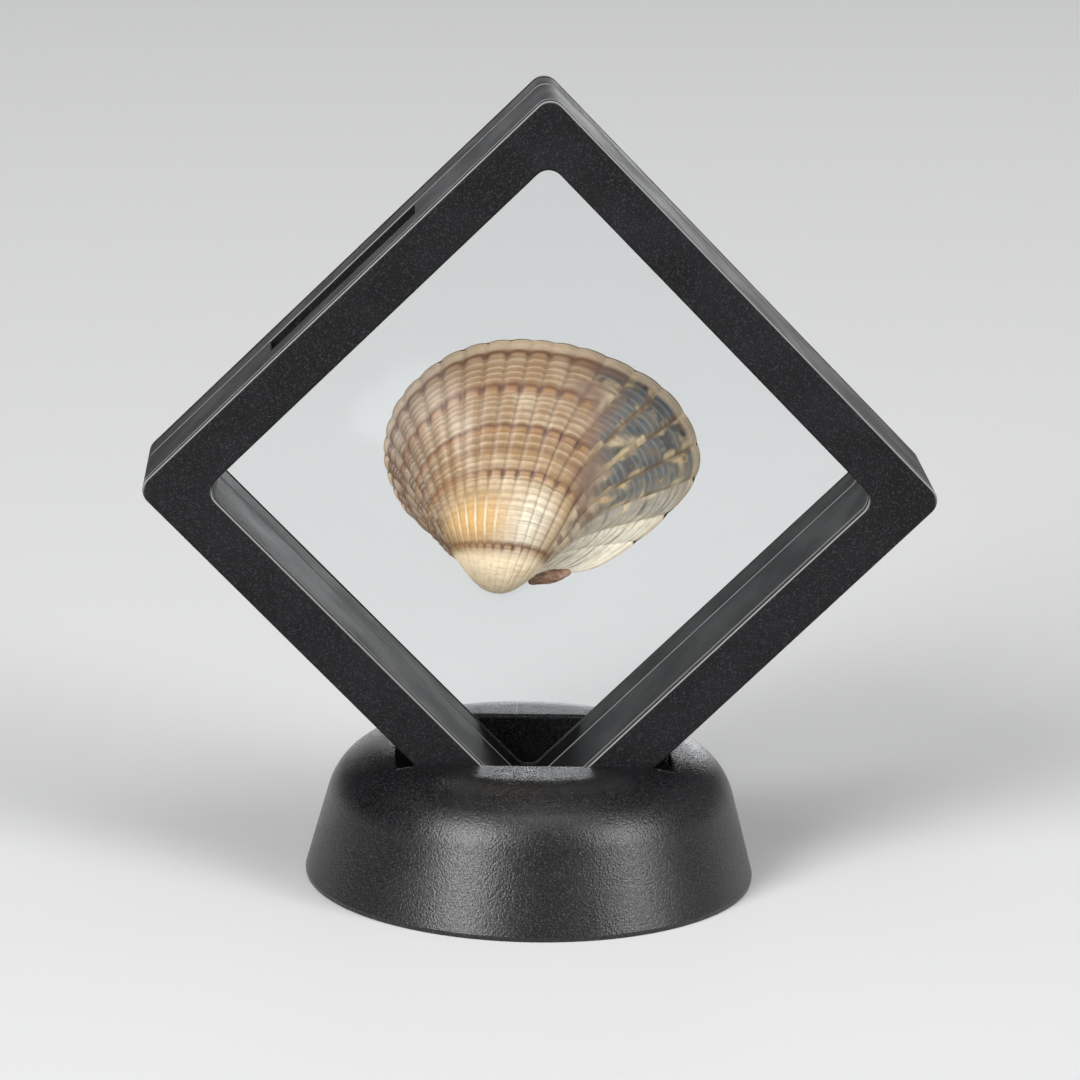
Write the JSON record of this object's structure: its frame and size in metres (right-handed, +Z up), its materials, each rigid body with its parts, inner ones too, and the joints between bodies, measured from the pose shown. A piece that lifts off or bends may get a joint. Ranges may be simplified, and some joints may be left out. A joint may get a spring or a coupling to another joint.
{
  "type": "seashell display case",
  "caption": "Square clamshell case with two clear elastic films that hold a cockle shell, standing on its corner in the slot of a round stand.",
  "frame": {"origin": "under the middle of the stand, on the surface that it stands on", "axes": "+Z up, -Y towards the front of the case, +X to the right as seen from the front"},
  "size_m": [0.0974, 0.0566, 0.1001],
  "materials": {
    "stand_plastic": "satin black plastic with a fine sparkling grain",
    "frame_plastic": "black moulded plastic with a fine mottled texture",
    "pin_steel": "drawn wire",
    "clear_film": "clear elastic film",
    "shell": "ribbed shell, cream with brown growth bands and a blue-grey stain",
    "ligament": "dry brown horn"
  },
  "bodies": {
    "stand": {"stand": "stand_plastic"},
    "case": {"front_frame": "frame_plastic", "hinge_pin": "pin_steel", "front_film_ring": "frame_plastic", "front_film": "clear_film", "front_valve": "shell", "rear_valve": "shell", "ligament": "ligament"},
    "lid": {"rear_frame": "frame_plastic", "rear_film_ring": "frame_plastic", "rear_film": "clear_film"}
  },
  "joints": [
    {"name": "case_lift", "type": "slide", "parent": "stand", "child": "case", "axis": [0, 0, 1], "range_m": [0, 0.15]},
    {"name": "lid_open", "type": "hinge", "parent": "case", "child": "lid", "pos_m": [0.02546, 0.0035, 0.02601], "axis": [-0.7071, 0, -0.7071], "range_deg": [0, 105]}
  ],
  "couplings": [
    {"joint": "lid_open", "follows": "case_lift", "rad_per_m": 12.2}
  ]
}
